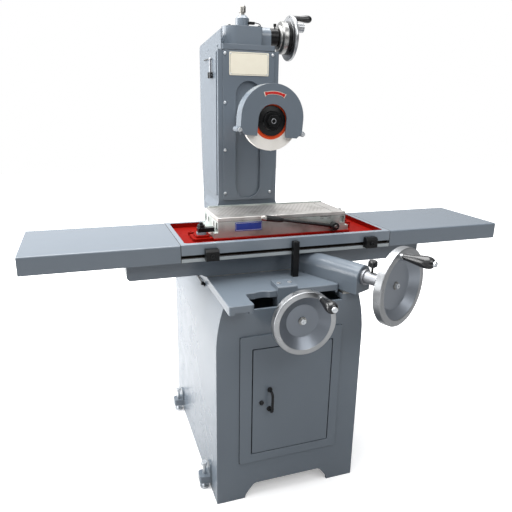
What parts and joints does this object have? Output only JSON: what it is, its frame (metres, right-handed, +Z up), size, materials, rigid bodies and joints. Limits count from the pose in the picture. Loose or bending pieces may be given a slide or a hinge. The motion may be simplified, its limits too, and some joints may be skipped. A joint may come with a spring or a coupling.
{
  "type": "surface grinding machine",
  "caption": "Manual surface grinding machine: cabinet base, saddle and long sliding table with magnetic chuck, guarded wheel head on a slotted column, handwheel feeds.",
  "frame": {"origin": "on the floor at the centre of the cabinet base's footprint", "axes": "+X to the operator's right along the table, +Y to the rear across it, +Z up the column"},
  "size_m": [1.778, 1.14, 1.724],
  "materials": {
    "grey_paint": "gloss",
    "grey_sheet": "gloss",
    "machined_iron": "satin",
    "ground_steel": "satin",
    "polished_alloy": "polished",
    "black_steel": "satin",
    "black_plastic": "gloss",
    "bronze": "satin",
    "cream_plate": "satin",
    "abrasive": "matte",
    "orange_paper": "matte"
  },
  "bodies": {
    "base": {"base_front_plate": "grey_paint", "base_shell": "grey_paint", "levelling_bolts": "ground_steel", "bed": "grey_paint", "crossfeed_nut": "bronze", "door_frame": "grey_paint", "column": "grey_paint", "front_cover": "grey_sheet", "cover_screws": "ground_steel", "blank_plate": "cream_plate", "cap_plate": "grey_paint", "rear_hood": "grey_sheet", "side_panel": "grey_sheet", "gear_housing": "grey_paint", "shaft_collar": "black_steel", "screw_cap": "ground_steel"},
    "door": {"door": "grey_sheet", "door_handle": "black_steel"},
    "door_latch": {"door_latch": "black_steel"},
    "panel_latch": {"latch_lever": "ground_steel"},
    "saddle": {"saddle_shelf": "grey_paint", "saddle_beam": "grey_paint", "stop_post": "black_steel", "crossfeed_bracket": "grey_paint", "traverse_housing": "grey_paint", "traverse_sleeve": "ground_steel"},
    "crossfeed": {"crossfeed_screw": "ground_steel", "crossfeed_dial": "polished_alloy", "crossfeed_wheel": "polished_alloy"},
    "crossfeed_grip": {"crossfeed_grip": "black_plastic"},
    "traverse": {"traverse_shaft": "ground_steel", "traverse_wheel": "polished_alloy"},
    "traverse_grip": {"traverse_grip": "black_plastic"},
    "traverse_lock": {"traverse_lock": "black_plastic"},
    "table": {"table": "grey_paint", "table_guards": "grey_sheet", "rack": "ground_steel", "chuck_body": "ground_steel", "chuck_top": "ground_steel", "chuck_clamps": "ground_steel"},
    "left_dog": {"left_dog": "black_steel"},
    "right_dog": {"right_dog": "black_steel"},
    "chuck_lever": {"chuck_lever": "ground_steel"},
    "head": {"head_carrier": "machined_iron", "spindle_housing": "machined_iron", "spindle_bearings": "ground_steel", "slot_shield": "grey_sheet", "guard_front": "grey_sheet", "guard_rear": "grey_sheet", "guard_bolts": "ground_steel"},
    "spindle": {"spindle_shaft": "ground_steel", "wheel_flanges": "black_steel", "grinding_wheel": "abrasive", "blotters": "orange_paper", "spindle_nut": "black_steel"},
    "elevating_screw": {"elevating_screw": "ground_steel"},
    "elevating_shaft": {"elevating_shaft": "ground_steel", "elevating_dial": "polished_alloy", "elevating_wheel": "polished_alloy"},
    "elevating_grip": {"elevating_grip": "black_plastic"}
  },
  "joints": [
    {"name": "door_hinge", "type": "hinge", "parent": "base", "child": "door", "pos_m": [0.142, -0.3705, 0.387], "axis": [0, 0, 1], "range_deg": [0, 110]},
    {"name": "door_latch_turn", "type": "hinge", "parent": "door", "child": "door_latch", "pos_m": [-0.109, -0.367, 0.386], "axis": [0, 1, 0], "range_deg": [0, 90]},
    {"name": "panel_latch_swing", "type": "hinge", "parent": "base", "child": "panel_latch", "pos_m": [-0.131, 0.22, 1.468], "axis": [0, -1, 0], "range_deg": [0, 90]},
    {"name": "saddle_slide", "type": "slide", "parent": "base", "child": "saddle", "axis": [0, 1, 0], "range_m": [-0.19, 0]},
    {"name": "crossfeed_turn", "type": "hinge", "parent": "saddle", "child": "crossfeed", "pos_m": [-0.018, -0.493, 0.722], "axis": [0, -1, 0], "range_deg": [-1, 6841]},
    {"name": "crossfeed_grip_spin", "type": "hinge", "parent": "crossfeed", "child": "crossfeed_grip", "pos_m": [0.02725, -0.527, 0.80038], "axis": [0, -1, 0], "continuous": true},
    {"name": "table_slide", "type": "slide", "parent": "saddle", "child": "table", "axis": [1, 0, 0], "range_m": [-0.25, 0.25]},
    {"name": "traverse_turn", "type": "hinge", "parent": "saddle", "child": "traverse", "pos_m": [0.3, -0.512, 0.813], "axis": [0.4289, -0.9033, 0], "range_deg": [-819, 819]},
    {"name": "traverse_grip_spin", "type": "hinge", "parent": "traverse", "child": "traverse_grip", "pos_m": [0.28652, -0.56268, 0.92393], "axis": [0.4289, -0.9033, 0], "continuous": true},
    {"name": "traverse_lock_turn", "type": "hinge", "parent": "saddle", "child": "traverse_lock", "pos_m": [0.25496, -0.41715, 0.853], "axis": [0, 0, 1], "range_deg": [0, 180]},
    {"name": "left_dog_slide", "type": "slide", "parent": "table", "child": "left_dog", "axis": [-1, 0, 0], "range_m": [0, 0.07]},
    {"name": "right_dog_slide", "type": "slide", "parent": "table", "child": "right_dog", "axis": [1, 0, 0], "range_m": [0, 0.06]},
    {"name": "chuck_lever_turn", "type": "hinge", "parent": "table", "child": "chuck_lever", "pos_m": [0.258, -0.127, 0.927], "axis": [0, 1, 0], "range_deg": [0, 160]},
    {"name": "head_slide", "type": "slide", "parent": "base", "child": "head", "axis": [0, 0, 1], "range_m": [-0.225, 0.07]},
    {"name": "spindle_spin", "type": "hinge", "parent": "head", "child": "spindle", "pos_m": [0, -0.107, 1.308], "axis": [0, -1, 0], "continuous": true},
    {"name": "elevating_screw_turn", "type": "hinge", "parent": "base", "child": "elevating_screw", "pos_m": [0, 0.231, 1.4], "axis": [0, 0, 1], "range_deg": [-2521, 8101]},
    {"name": "elevating_shaft_turn", "type": "hinge", "parent": "base", "child": "elevating_shaft", "pos_m": [0.1, 0.231, 1.616], "axis": [1, 0, 0], "range_deg": [-2521, 8101]},
    {"name": "elevating_grip_spin", "type": "hinge", "parent": "elevating_shaft", "child": "elevating_grip", "pos_m": [0.25, 0.231, 1.691], "axis": [1, 0, 0], "continuous": true}
  ],
  "couplings": [
    {"joint": "crossfeed_turn", "follows": "saddle_slide", "rad_per_m": -628.32},
    {"joint": "traverse_turn", "follows": "table_slide", "rad_per_m": -57.143},
    {"joint": "elevating_screw_turn", "follows": "head_slide", "rad_per_m": -628.32},
    {"joint": "elevating_shaft_turn", "follows": "head_slide", "rad_per_m": -628.32}
  ]
}
